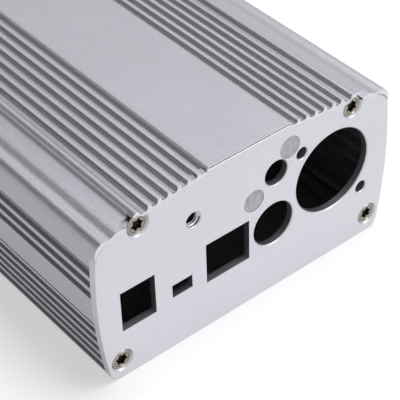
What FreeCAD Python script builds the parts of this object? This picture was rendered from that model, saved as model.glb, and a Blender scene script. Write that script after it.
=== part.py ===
"""Extruded aluminium instrument enclosure with two screwed end panels.

One finned extrusion carries a flat panel at each end.  Each panel lies in a step milled
into the end of the extrusion, so that the arched roof and its fins run out flush over the
panel, while the panel's edge stays open to view at the sides and along the bottom.  Four
countersunk six-lobe screws hold each panel to the extrusion's screw channels.

Millimetres.  X is across, Y runs along the extrusion with the front panel at -Y, and Z is up.
The origin is at the middle of the underside.
"""
import FreeCAD, Part
import math
import os

from FreeCAD import Vector

# Overall form of the section
LENGTH = 150.0
WIDTH = 92.0
HEIGHT = 50.5
SIDE_BOW_RADIUS = 140.0
SIDE_BOW_HEIGHT = 26.5
BOTTOM_CORNER_RADIUS = 3.5

# Roof: fins that follow a crown arc on each side of a flat centre band
BAND_EDGE_RADIUS = 0.4
CROWN_FALL = 3.3
FIN_COUNT = 6
FIN_WIDTH = 1.05
ROOF_GROOVE_WIDTH = 1.8
ROOF_GROOVE_DEPTH = 1.45
OUTER_GROOVE_WIDTH = 2.4
ROOF_ROOT_RADIUS = 0.85

# Ridge over each upper screw channel, then the shoulder, a cove and the rounded corner
RIDGE_INSET = 10.7
RIDGE_WIDTH = 2.9
RIDGE_EDGE_RADIUS = 0.7
RIDGE_FLANK_RUN = 0.6
SHOULDER_DROP = 4.1
SHOULDER_WIDTH = 2.9
SHOULDER_FALL = 0.3
CORNER_DROP = 5.3
CORNER_RADIUS = 6.0
COVE_END_REACH = 2.0
COVE_DEPTH = 0.4

# Side grooves, the lower ones placed from the underside and the upper ones from the corner
SIDE_GROOVE_DEPTH = 1.3
SIDE_ROOT_BEVEL = 0.35
FOOT_GROOVE_START = 2.9
FOOT_GROOVE_WIDTH = 2.9
LOWER_GROOVE_COUNT = 4
LOWER_GROOVE_WIDTH = 1.95
LOWER_GROOVE_START = 7.05
LOWER_FIN_WIDTH = 1.25
HAIRLINE_RISE = 1.0
HAIRLINE_WIDTH = 0.5
HAIRLINE_DEPTH = 0.4
BROAD_GROOVE_DROP = 1.7
BROAD_GROOVE_WIDTH = 2.8
UPPER_GROOVE_COUNT = 2
UPPER_GROOVE_WIDTH = 2.05
UPPER_FIN_WIDTH = 1.25

# Walls, and the board guides that stand on them
ROOF_WALL = 1.8
SIDE_WALL = 1.8
FLOOR_WALL = 2.5
CAVITY_CORNER_RADIUS = 1.5
RIB_COUNT = 5
RIB_START = 11.2
RIB_PITCH = 4.2
RIB_THICKNESS = 1.4
RIB_REACH = 2.4

# Screw channels, screws and their countersinks
UPPER_SCREW_INSET = 0.6
UPPER_SCREW_DROP = 3.4
LOWER_SCREW_INSET = 4.25
LOWER_SCREW_HEIGHT = 5.65
CHANNEL_WALL = 1.75
CHANNEL_SLOT_WIDTH = 1.5
SCREW_DIAMETER = 3.0
SCREW_LENGTH = 10.0
SCREW_HEAD_DIAMETER = 5.7
SCREW_HEAD_RECESS = 0.2
COUNTERSINK_MARGIN = 0.4
THREAD_CLEARANCE = 0.05
PANEL_HOLE_CLEARANCE = 0.2
LIP_RELIEF_RADIUS = 3.6
LOBE_COUNT = 6
LOBE_TIP_RADIUS = 1.45
LOBE_ROOT_RADIUS = 1.05
RECESS_DEPTH = 1.1

# End panels, and their clearance under the roof
PANEL_THICKNESS = 2.0
PANEL_APEX_DROP = 1.3
PANEL_ARCH_FALL = 4.35
PANEL_SHOULDER_DROP = 1.15
PANEL_CORNER_RADIUS = 5.5
PANEL_EDGE_CHAMFER = 0.15
PANEL_GAP = 0.1
BAND_GAP = 0.4
LIP_INSET = 3.7

# Front panel openings: centres across from the middle, and down from the roof's flat band
ROUND_HOLE_CHAMFER = 0.25
CONNECTOR_X = 26.9
CONNECTOR_DROP = 23.0
CONNECTOR_RADIUS = 12.0
FLANGE_HOLE_COUNT = 2
FLANGE_HOLE_RADIUS = 1.65
FLANGE_HOLE_CIRCLE_RADIUS = 15.15
FLANGE_HOLE_ANGLE = 133.4
SOCKET_X = 7.45
SOCKET_DROP = 29.25
SOCKET_RADIUS = 6.3
JACK_X = 8.3
JACK_DROP = 13.6
JACK_RADIUS = 3.55
THREADED_HOLE_X = -17.3
THREADED_HOLE_DROP = 13.75
THREADED_HOLE_RADIUS = 2.1
LEFT_CUTOUT_X = -34.4
LEFT_CUTOUT_DROP = 29.6
LEFT_CUTOUT_WIDTH = 10.05
LEFT_CUTOUT_HEIGHT = 12.1
SMALL_CUTOUT_X = -21.4
SMALL_CUTOUT_DROP = 32.35
SMALL_CUTOUT_WIDTH = 6.1
SMALL_CUTOUT_HEIGHT = 3.9
MIDDLE_CUTOUT_X = -7.2
MIDDLE_CUTOUT_DROP = 29.8
MIDDLE_CUTOUT_WIDTH = 13.5
MIDDLE_CUTOUT_HEIGHT = 12.2

# Frosted light pipes, pressed in from behind
LIGHT_PIPE_RADIUS = 3.1
LIGHT_PIPE_TAIL_RADIUS = 2.2
LIGHT_PIPE_LENGTH = 7.5
UPPER_LIGHT_PIPE_X = 12.5
UPPER_LIGHT_PIPE_DROP = 7.9
LOWER_LIGHT_PIPE_X = 1.15
LOWER_LIGHT_PIPE_DROP = 18.4

# Reach of a cutting tool past the face that it cuts, and how near an edge is to be found
OVERCUT = 2.0
EDGE_TOLERANCE = 0.05

FRONT = -LENGTH / 2
SIDE_CENTRE_X = WIDTH / 2 - SIDE_BOW_RADIUS
RIDGE_OUTER_X = WIDTH / 2 - RIDGE_INSET
RIDGE_INNER_X = RIDGE_OUTER_X - RIDGE_WIDTH
SHOULDER_X = RIDGE_OUTER_X + RIDGE_FLANK_RUN
OUTER_GROOVE_X = RIDGE_INNER_X - OUTER_GROOVE_WIDTH
FIN_PITCH = FIN_WIDTH + ROOF_GROOVE_WIDTH
BAND_HALF_WIDTH = OUTER_GROOVE_X - FIN_COUNT * FIN_PITCH
CROWN_RISE = (RIDGE_OUTER_X**2 - BAND_HALF_WIDTH**2 + CROWN_FALL**2) / (2 * CROWN_FALL)
CROWN_RADIUS = math.hypot(BAND_HALF_WIDTH, CROWN_RISE)
CROWN_HEIGHT = HEIGHT - CROWN_RISE + CROWN_RADIUS
SHOULDER_HEIGHT = HEIGHT - SHOULDER_DROP
CORNER_TOP = HEIGHT - CORNER_DROP
CORNER_Z = CORNER_TOP - CORNER_RADIUS
PANEL_CORNER_Z = CORNER_TOP - PANEL_SHOULDER_DROP - PANEL_CORNER_RADIUS
PANEL_APEX = HEIGHT - PANEL_APEX_DROP
PANEL_ARCH_RADIUS = (SHOULDER_X**2 + PANEL_ARCH_FALL**2) / (2 * PANEL_ARCH_FALL)
SCREW_RADIUS = SCREW_DIAMETER / 2
SCREW_HEAD_RADIUS = SCREW_HEAD_DIAMETER / 2
CHANNEL_RADIUS = SCREW_RADIUS + THREAD_CLEARANCE
UPPER_LIGHT_PIPE = (UPPER_LIGHT_PIPE_X, HEIGHT - UPPER_LIGHT_PIPE_DROP)
LOWER_LIGHT_PIPE = (LOWER_LIGHT_PIPE_X, HEIGHT - LOWER_LIGHT_PIPE_DROP)


def arc_height(apex, radius, x):
    """Height at x of an arc whose highest point is over the middle of the section."""
    return apex - radius + math.sqrt(radius**2 - x**2)


def crown_height(x):
    """Height of the roof's crown arc at x."""
    return arc_height(CROWN_HEIGHT, CROWN_RADIUS, x)


def side_x(z, bow_radius=SIDE_BOW_RADIUS):
    """Half width of the section at height z, on a side arc of the given radius."""
    return SIDE_CENTRE_X + math.sqrt(bow_radius**2 - (z - SIDE_BOW_HEIGHT) ** 2)


CORNER_X = side_x(CORNER_Z, SIDE_BOW_RADIUS - CORNER_RADIUS)
LIP_HALF_WIDTH = side_x(CORNER_Z) - LIP_INSET
UPPER_SCREW_X = RIDGE_INNER_X + UPPER_SCREW_INSET
UPPER_SCREW_Z = crown_height(UPPER_SCREW_X) - UPPER_SCREW_DROP
LOWER_SCREW_X = side_x(LOWER_SCREW_HEIGHT) - LOWER_SCREW_INSET


def line(start, end):
    """Straight edge between two (x, z) points."""
    return Part.LineSegment(Vector(start[0], 0, start[1]), Vector(end[0], 0, end[1])).toShape()


def arc(start, middle, end):
    """Circular edge through three (x, z) points."""
    points = [Vector(x, 0, z) for x, z in (start, middle, end)]
    return Part.Arc(*points).toShape()


def closed_face(edges):
    """Face bounded by a closed run of edges in the section plane."""
    return Part.Face(Part.Wire(Part.__sortEdges__(edges)))


def symmetric_face(right_edges):
    """Face from the edges of its right half, which run from the middle line back to it."""
    left_edges = [edge.mirror(Vector(0, 0, 0), Vector(1, 0, 0)) for edge in right_edges]
    return closed_face(right_edges + left_edges)


def both_sides(face):
    """A face and its mirror image across the middle of the section."""
    return [face, face.mirror(Vector(0, 0, 0), Vector(1, 0, 0))]


def disc(x, z, radius):
    """Round face in the section plane."""
    circle = Part.Circle(Vector(x, 0, z), Vector(0, -1, 0), radius)
    return Part.Face(Part.Wire(circle.toShape()))


def rectangle(x_low, x_high, z_low, z_high):
    """Upright rectangular face in the section plane."""
    corners = [(x_low, z_low), (x_high, z_low), (x_high, z_high), (x_low, z_high)]
    return closed_face([line(corners[i - 1], corners[i]) for i in range(len(corners))])


def prism(face, y_start, y_end):
    """Solid of a section face between two places along the extrusion."""
    moved = face.copy()
    moved.translate(Vector(0, y_start, 0))
    return moved.extrude(Vector(0, y_end - y_start, 0))


def cylinder(x, z, radius, y_start, y_end):
    """Round bar along Y."""
    return Part.makeCylinder(radius, y_end - y_start, Vector(x, y_start, z), Vector(0, 1, 0))


def mirror_to_rear(shape):
    """The same shape at the other end of the extrusion."""
    return shape.mirror(Vector(0, 0, 0), Vector(0, 1, 0))


def side_corner(bow_radius, radius, centre_z, far_angle):
    """Three points of a rounded corner, from where it leaves a side arc to a far angle."""
    centre_x = side_x(centre_z, bow_radius - radius)
    near_angle = math.atan2(centre_z - SIDE_BOW_HEIGHT, centre_x - SIDE_CENTRE_X)
    angles = (near_angle, (near_angle + far_angle) / 2, far_angle)
    return [(centre_x + radius * math.cos(a), centre_z + radius * math.sin(a)) for a in angles]


def side_outline(bow_radius, lower, upper):
    """Edges of one side: its lower corner, the bowed side and its upper corner."""
    middle_z = (lower[0][1] + upper[0][1]) / 2
    middle = (side_x(middle_z, bow_radius), middle_z)
    return [arc(*lower), arc(lower[0], middle, upper[0]), arc(*upper)]


def outer_outline():
    """Outside of the extrusion before its grooves are cut."""
    lower = side_corner(SIDE_BOW_RADIUS, BOTTOM_CORNER_RADIUS, BOTTOM_CORNER_RADIUS, -math.pi / 2)
    cove_angle = math.acos(COVE_END_REACH / CORNER_RADIUS)
    upper = side_corner(SIDE_BOW_RADIUS, CORNER_RADIUS, CORNER_Z, cove_angle)
    shoulder = (SHOULDER_X, SHOULDER_HEIGHT)
    cove_start = (SHOULDER_X + SHOULDER_WIDTH, SHOULDER_HEIGHT - SHOULDER_FALL)
    cove_floor = (
        (cove_start[0] + upper[2][0]) / 2,
        (cove_start[1] + upper[2][1]) / 2 - COVE_DEPTH,
    )
    ridge_top = (RIDGE_OUTER_X, crown_height(RIDGE_OUTER_X))
    crown_x = (BAND_HALF_WIDTH + RIDGE_OUTER_X) / 2
    band_edge = (BAND_HALF_WIDTH, HEIGHT)
    return symmetric_face(side_outline(SIDE_BOW_RADIUS, lower, upper) + [
        line((0, 0), lower[2]),
        arc(upper[2], cove_floor, cove_start),
        line(cove_start, shoulder),
        line(shoulder, ridge_top),
        arc(ridge_top, (crown_x, crown_height(crown_x)), band_edge),
        line(band_edge, (0, HEIGHT)),
    ])


def panel_outline(growth):
    """Outline of an end panel, grown all round by a clearance."""
    bow_radius = SIDE_BOW_RADIUS + growth
    lower_radius = BOTTOM_CORNER_RADIUS + growth
    lower = side_corner(bow_radius, lower_radius, BOTTOM_CORNER_RADIUS, -math.pi / 2)
    upper = side_corner(bow_radius, PANEL_CORNER_RADIUS + growth, PANEL_CORNER_Z, math.pi / 2)
    top = PANEL_APEX + growth
    tab_x = BAND_HALF_WIDTH + growth
    arch = [
        (x, arc_height(top, PANEL_ARCH_RADIUS + growth, x))
        for x in (SHOULDER_X, (SHOULDER_X + tab_x) / 2, tab_x)
    ]
    return symmetric_face(side_outline(bow_radius, lower, upper) + [
        line((0, -growth), lower[2]),
        line(upper[2], arch[0]),
        arc(*arch),
        line(arch[2], (tab_x, top)),
        line((tab_x, top), (0, top)),
    ])


def roof_groove(x_low, x_high):
    """Round-rooted groove that opens upwards."""
    floor = crown_height((x_low + x_high) / 2) - ROOF_GROOVE_DEPTH
    return u_groove(x_low, x_high, floor)


def u_groove(low, high, floor):
    """Face of a groove with rounded root corners, from its floor to well above the roof."""
    radius = ROOF_ROOT_RADIUS
    inset = radius * (1 - math.sqrt(0.5))
    top = HEIGHT + OVERCUT
    return closed_face([
        line((low + radius, floor), (high - radius, floor)),
        arc((high - radius, floor), (high - inset, floor + inset), (high, floor + radius)),
        line((high, floor + radius), (high, top)),
        line((high, top), (low, top)),
        line((low, top), (low, floor + radius)),
        arc((low, floor + radius), (low + inset, floor + inset), (low + radius, floor)),
    ])


def side_groove(start, width, depth):
    """Groove with bevelled root corners that opens outwards on the right side."""
    bevel = min(SIDE_ROOT_BEVEL, width / 4)
    floor = side_x(start + width / 2) - depth
    mouth = WIDTH / 2 + OVERCUT
    end = start + width
    return closed_face([
        line((mouth, start), (floor + bevel, start)),
        line((floor + bevel, start), (floor, start + bevel)),
        line((floor, start + bevel), (floor, end - bevel)),
        line((floor, end - bevel), (floor + bevel, end)),
        line((floor + bevel, end), (mouth, end)),
        line((mouth, end), (mouth, start)),
    ])


def groove_faces():
    """Every groove of the section, on both sides."""
    right = []
    for index in range(FIN_COUNT):
        start = BAND_HALF_WIDTH + index * FIN_PITCH
        right.append(roof_groove(start, start + ROOF_GROOVE_WIDTH))
    right.append(roof_groove(OUTER_GROOVE_X, RIDGE_INNER_X))

    right.append(side_groove(FOOT_GROOVE_START, FOOT_GROOVE_WIDTH, SIDE_GROOVE_DEPTH))
    lower_pitch = LOWER_GROOVE_WIDTH + LOWER_FIN_WIDTH
    for index in range(LOWER_GROOVE_COUNT):
        start = LOWER_GROOVE_START + index * lower_pitch
        right.append(side_groove(start, LOWER_GROOVE_WIDTH, SIDE_GROOVE_DEPTH))
    hairline = LOWER_GROOVE_START + LOWER_GROOVE_COUNT * lower_pitch - LOWER_FIN_WIDTH + HAIRLINE_RISE
    right.append(side_groove(hairline, HAIRLINE_WIDTH, HAIRLINE_DEPTH))

    broad = CORNER_Z - BROAD_GROOVE_DROP - BROAD_GROOVE_WIDTH
    right.append(side_groove(broad, BROAD_GROOVE_WIDTH, SIDE_GROOVE_DEPTH))
    upper_pitch = UPPER_GROOVE_WIDTH + UPPER_FIN_WIDTH
    for index in range(UPPER_GROOVE_COUNT):
        start = broad - (index + 1) * upper_pitch
        right.append(side_groove(start, UPPER_GROOVE_WIDTH, SIDE_GROOVE_DEPTH))
    return [face for groove in right for face in both_sides(groove)]


def cavity_face():
    """Hollow of the section, less the channel walls and the board guides."""
    wall = SIDE_GROOVE_DEPTH + SIDE_WALL
    bow_radius = SIDE_BOW_RADIUS - wall
    upper_radius = CORNER_RADIUS - wall
    roof = ROOF_GROOVE_DEPTH + ROOF_WALL
    floor_corner_z = FLOOR_WALL + CAVITY_CORNER_RADIUS
    lower = side_corner(bow_radius, CAVITY_CORNER_RADIUS, floor_corner_z, -math.pi / 2)
    roof_corner_z = crown_height(CORNER_X) - roof - upper_radius
    upper = side_corner(bow_radius, upper_radius, roof_corner_z, math.pi / 2)
    ceiling_x = CORNER_X / 2
    hollow = symmetric_face(side_outline(bow_radius, lower, upper) + [
        line((0, FLOOR_WALL), lower[2]),
        arc(upper[2], (ceiling_x, crown_height(ceiling_x) - roof), (0, CROWN_HEIGHT - roof)),
    ])

    solid_parts = []
    for x, z in ((UPPER_SCREW_X, UPPER_SCREW_Z), (LOWER_SCREW_X, LOWER_SCREW_HEIGHT)):
        solid_parts += both_sides(disc(x, z, CHANNEL_RADIUS + CHANNEL_WALL))
    for index in range(RIB_COUNT):
        base = RIB_START + index * RIB_PITCH
        reach = side_x(base, bow_radius) - RIB_REACH
        solid_parts += both_sides(rectangle(reach, side_x(base), base, base + RIB_THICKNESS))
    return hollow.cut(solid_parts)


def channel_faces():
    """Screw channels, each with a slot that opens into the hollow."""
    reach = CHANNEL_RADIUS + CHANNEL_WALL + OVERCUT / 2
    faces = []
    for x, z, angle in (
        (UPPER_SCREW_X, UPPER_SCREW_Z, 45),
        (LOWER_SCREW_X, LOWER_SCREW_HEIGHT, -45),
    ):
        slot = rectangle(x - reach, x, z - CHANNEL_SLOT_WIDTH / 2, z + CHANNEL_SLOT_WIDTH / 2)
        slot.rotate(Vector(x, 0, z), Vector(0, -1, 0), angle)
        faces += both_sides(disc(x, z, CHANNEL_RADIUS)) + both_sides(slot)
    return faces


def end_step():
    """What is milled from the front end of the extrusion to seat the panel."""
    outside = WIDTH / 2 + OVERCUT
    band_gap = rectangle(-BAND_HALF_WIDTH, BAND_HALF_WIDTH, CORNER_Z, PANEL_APEX + BAND_GAP)
    faces = [panel_outline(PANEL_GAP), band_gap]
    faces += both_sides(rectangle(LIP_HALF_WIDTH, outside, -OVERCUT, HEIGHT + OVERCUT))
    faces += both_sides(disc(UPPER_SCREW_X, UPPER_SCREW_Z, LIP_RELIEF_RADIUS))
    solids = [prism(face, FRONT - OVERCUT, FRONT + PANEL_THICKNESS) for face in faces]
    return solids[0].multiFuse(solids[1:])


def screw_places():
    """Centres of the four screws of a panel."""
    places = []
    for x, z in ((UPPER_SCREW_X, UPPER_SCREW_Z), (LOWER_SCREW_X, LOWER_SCREW_HEIGHT)):
        places += [(-x, z), (x, z)]
    return places


def taper(x, z, radius, end_radius, y_start, length):
    """Cone along Y that starts with one radius and ends with another."""
    return Part.makeCone(radius, end_radius, length, Vector(x, y_start, z), Vector(0, 1, 0))


def countersink(x, z):
    """Countersink and clearance hole of one screw, cut from the front face."""
    mouth = SCREW_HEAD_RADIUS + COUNTERSINK_MARGIN
    hole_radius = SCREW_RADIUS + PANEL_HOLE_CLEARANCE
    sink = taper(x, z, mouth, SCREW_RADIUS, FRONT, mouth - SCREW_RADIUS)
    return sink.fuse(cylinder(x, z, hole_radius, FRONT, FRONT + PANEL_THICKNESS))


def soften(solid, radius, x, z):
    """Round the long edge that runs at x and z, and the one that mirrors it."""
    edges = []
    for edge in solid.Edges:
        box = edge.BoundBox
        runs_through = box.YLength > LENGTH / 2
        in_place = math.hypot(abs(box.Center.x) - x, box.Center.z - z) < EDGE_TOLERANCE
        if runs_through and in_place:
            edges.append(edge)
    return solid.makeFillet(radius, edges)


def build_housing():
    """The extrusion, stepped at both ends for the panels."""
    section = outer_outline().cut(groove_faces())
    section = section.cut([cavity_face()] + channel_faces())
    housing = prism(section.Faces[0], FRONT, -FRONT)
    housing = soften(housing, BAND_EDGE_RADIUS, BAND_HALF_WIDTH, HEIGHT)
    housing = soften(housing, RIDGE_EDGE_RADIUS, RIDGE_OUTER_X, crown_height(RIDGE_OUTER_X))
    step = end_step()
    return housing.cut([step, mirror_to_rear(step)])


def build_panel_blank():
    """Front end panel with its screw holes and a softened front edge."""
    panel = prism(panel_outline(0), FRONT, FRONT + PANEL_THICKNESS)
    front_edges = [edge for edge in panel.Edges if edge.BoundBox.YMax < FRONT + EDGE_TOLERANCE]
    panel = panel.makeChamfer(PANEL_EDGE_CHAMFER, front_edges)
    return panel.cut([countersink(x, z) for x, z in screw_places()])


def cutout(x, drop, width, height):
    """Rectangular window tool, centred at a drop below the roof's flat band."""
    z = HEIGHT - drop
    face = rectangle(x - width / 2, x + width / 2, z - height / 2, z + height / 2)
    return prism(face, FRONT - OVERCUT, FRONT + PANEL_THICKNESS + OVERCUT)


def chamfered_hole(x, drop, radius):
    """Round hole tool with a small chamfer, centred at a drop below the roof's flat band."""
    z = HEIGHT - drop
    hole = cylinder(x, z, radius, FRONT - OVERCUT, FRONT + PANEL_THICKNESS + OVERCUT)
    mouth = radius + ROUND_HOLE_CHAMFER
    return hole.fuse(taper(x, z, mouth, radius, FRONT, ROUND_HOLE_CHAMFER))


def build_front_panel():
    """Front panel with its round and rectangular openings."""
    tools = [
        chamfered_hole(CONNECTOR_X, CONNECTOR_DROP, CONNECTOR_RADIUS),
        chamfered_hole(SOCKET_X, SOCKET_DROP, SOCKET_RADIUS),
        chamfered_hole(JACK_X, JACK_DROP, JACK_RADIUS),
        chamfered_hole(THREADED_HOLE_X, THREADED_HOLE_DROP, THREADED_HOLE_RADIUS),
        cutout(LEFT_CUTOUT_X, LEFT_CUTOUT_DROP, LEFT_CUTOUT_WIDTH, LEFT_CUTOUT_HEIGHT),
        cutout(SMALL_CUTOUT_X, SMALL_CUTOUT_DROP, SMALL_CUTOUT_WIDTH, SMALL_CUTOUT_HEIGHT),
        cutout(MIDDLE_CUTOUT_X, MIDDLE_CUTOUT_DROP, MIDDLE_CUTOUT_WIDTH, MIDDLE_CUTOUT_HEIGHT),
    ]
    for index in range(FLANGE_HOLE_COUNT):
        angle = math.radians(FLANGE_HOLE_ANGLE + index * 360 / FLANGE_HOLE_COUNT)
        x = CONNECTOR_X + FLANGE_HOLE_CIRCLE_RADIUS * math.cos(angle)
        drop = CONNECTOR_DROP - FLANGE_HOLE_CIRCLE_RADIUS * math.sin(angle)
        tools.append(chamfered_hole(x, drop, FLANGE_HOLE_RADIUS))
    for x, z in (UPPER_LIGHT_PIPE, LOWER_LIGHT_PIPE):
        tools.append(cylinder(x, z, LIGHT_PIPE_RADIUS, FRONT, FRONT + PANEL_THICKNESS))
    return build_panel_blank().cut(tools)


def lobed_face(x, z):
    """Six-pointed face of the screw's drive recess."""
    points = []
    for index in range(2 * LOBE_COUNT):
        radius = LOBE_ROOT_RADIUS if index % 2 else LOBE_TIP_RADIUS
        angle = math.pi * index / LOBE_COUNT
        points.append((x + radius * math.cos(angle), z + radius * math.sin(angle)))
    return closed_face([line(points[i - 1], points[i]) for i in range(len(points))])


def build_screw(x, z):
    """Countersunk screw with a six-lobe recess, at the front panel."""
    top = FRONT + SCREW_HEAD_RECESS
    head_length = SCREW_HEAD_RADIUS - SCREW_RADIUS
    head = taper(x, z, SCREW_HEAD_RADIUS, SCREW_RADIUS, top, head_length)
    shank = cylinder(x, z, SCREW_RADIUS, top + head_length, top + SCREW_LENGTH)
    return head.fuse(shank).cut(prism(lobed_face(x, z), FRONT, top + RECESS_DEPTH))


def build_light_pipe(x, z):
    """Frosted light pipe: a window flush with the panel and a narrower tail behind it."""
    window_end = FRONT + PANEL_THICKNESS
    window = cylinder(x, z, LIGHT_PIPE_RADIUS, FRONT, window_end)
    tail = cylinder(x, z, LIGHT_PIPE_TAIL_RADIUS, window_end, FRONT + LIGHT_PIPE_LENGTH)
    return window.fuse(tail)


def main():
    """Build every piece and write one file for each."""
    screws = [build_screw(x, z) for x, z in screw_places()]
    pieces = {
        "housing": build_housing(),
        "front_panel": build_front_panel(),
        "rear_panel": mirror_to_rear(build_panel_blank()),
        "front_screws": Part.makeCompound(screws),
        "rear_screws": Part.makeCompound([mirror_to_rear(screw) for screw in screws]),
        "upper_light_pipe": build_light_pipe(*UPPER_LIGHT_PIPE),
        "lower_light_pipe": build_light_pipe(*LOWER_LIGHT_PIPE),
    }
    os.makedirs("parts", exist_ok=True)
    for name, shape in pieces.items():
        shape.exportStep(f"parts/{name}.step")
        box = shape.BoundBox
        print(
            f"{name}: {len(shape.Solids)} solid(s), valid {shape.isValid()}, "
            f"volume {shape.Volume:.1f}, x {box.XMin:.2f}..{box.XMax:.2f}, "
            f"y {box.YMin:.2f}..{box.YMax:.2f}, z {box.ZMin:.2f}..{box.ZMax:.2f}"
        )


main()
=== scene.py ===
"""Dresses the extruded aluminium enclosure and builds its studio.

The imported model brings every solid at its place. This script gives each of them a finish,
puts a rounder extrusion, detailed screws and light pipes in the places of the plain ones, adds
the thread of the earth hole, and sets the floor, the lamps and the camera. The frame is that of
the solids: the front panel faces -Y and the underside rests on Z = 0. Lengths are in metres,
apart from the extrusion's section, which is in millimetres until its mesh is made.
"""

import logging
import math
from dataclasses import dataclass
from enum import Enum

import bmesh
import bpy
from mathutils import Euler, Matrix, Quaternion, Vector


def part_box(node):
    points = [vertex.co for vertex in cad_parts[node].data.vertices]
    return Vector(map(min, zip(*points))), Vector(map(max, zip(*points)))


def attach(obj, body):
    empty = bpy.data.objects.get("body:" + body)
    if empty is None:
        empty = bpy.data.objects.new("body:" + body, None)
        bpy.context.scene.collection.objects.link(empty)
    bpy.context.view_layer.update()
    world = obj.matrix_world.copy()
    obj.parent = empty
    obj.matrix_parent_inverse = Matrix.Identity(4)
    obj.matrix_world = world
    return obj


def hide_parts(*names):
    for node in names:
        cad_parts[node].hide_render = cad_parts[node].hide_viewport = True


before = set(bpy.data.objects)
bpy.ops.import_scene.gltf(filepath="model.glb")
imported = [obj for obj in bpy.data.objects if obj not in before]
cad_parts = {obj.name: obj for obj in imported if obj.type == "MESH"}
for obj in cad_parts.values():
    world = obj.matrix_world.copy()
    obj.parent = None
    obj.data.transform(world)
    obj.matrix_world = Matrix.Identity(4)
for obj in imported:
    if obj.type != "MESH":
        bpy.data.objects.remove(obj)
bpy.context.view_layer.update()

LOG = logging.getLogger("enclosure")
MM = 0.001
BODY = "root"
FRONT = -75.0 * MM
HEIGHT = 50.5 * MM

# X of the screws' axes, in millimetres
UPPER_SCREW = 33.0
LOWER_SCREW = 40.19

# A crease sharper than this stays sharp, and a face that looks this much along Y stays flat
CREASE = math.radians(32)
END_FACE = 0.995

WHITE = (1.0, 1.0, 1.0, 1.0)

# Turns a piece that was spun round Z so that its top faces the front
FORWARD = Matrix.Rotation(math.pi / 2, 4, "X")

Colour = tuple[float, float, float]
Point = tuple[float, float, float]
Spot = tuple[float, float]
Profile = list[Spot]


class Slot(Enum):
    """Names of material slots, which no piece in this script is given."""

    BODY = "satin_aluminium_body"
    PANEL = "satin_aluminium_panel"
    SCREW = "steel_screw"
    LIGHT_PIPE = "frosted_light_pipe"


class End(Enum):
    """The two ends of the enclosure, by the sign of Y that they face."""

    FRONT = -1
    REAR = 1


@dataclass(frozen=True)
class Arc:
    """Arc of the extrusion's section, in millimetres.

    Attributes:
        x: X of its centre.
        z: height of its centre.
        radius: its radius.
    """

    x: float
    z: float
    radius: float

    def height(self, x: float) -> float:
        """Height of its upper side at X."""
        return self.z + math.sqrt(self.radius**2 - (x - self.x) ** 2)

    def reach(self, z: float, inset: float = 0.0) -> float:
        """X of its right side at a height, on the arc or inside it."""
        return self.x + math.sqrt((self.radius - inset) ** 2 - (z - self.z) ** 2)


ROOF = Arc(0.0, -230.1, 280.0)
SIDE = Arc(-94.0, 26.5, 140.0)
PLATE_TOP = Arc(0.0, 49.3 - 150.4, 150.4)


class Wire:
    """An output socket that takes part in arithmetic."""

    def __init__(self, graph: "Graph", socket: bpy.types.NodeSocket) -> None:
        """Keep the socket and the graph that it belongs to."""
        self.graph = graph
        self.socket = socket

    def __add__(self, other: "Wire | float") -> "Wire":
        """Sum with a wire or a number."""
        return self.graph.math("ADD", self, other)

    __radd__ = __add__

    def __sub__(self, other: "Wire | float") -> "Wire":
        """Difference with a wire or a number."""
        return self.graph.math("SUBTRACT", self, other)

    def __rsub__(self, other: float) -> "Wire":
        """Difference of a number and this wire."""
        return self.graph.math("SUBTRACT", other, self)

    def __mul__(self, other: "Wire | float") -> "Wire":
        """Product with a wire or a number."""
        return self.graph.math("MULTIPLY", self, other)

    def __abs__(self) -> "Wire":
        """Size without the sign."""
        return self.graph.math("ABSOLUTE", self, 0.0)

    def swing(self, share: float) -> "Wire":
        """Values about 0.5 brought to lie about 0, and scaled."""
        return (self - 0.5) * share

    def rises(self, low: float, high: float) -> "Wire":
        """Smooth mask, 0 at the low value and 1 at the high one, which may lie below it."""
        return self.graph.node(
            "ShaderNodeMapRange",
            {"interpolation_type": "SMOOTHSTEP"},
            {"Value": self, "From Min": low, "From Max": high},
        )


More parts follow.
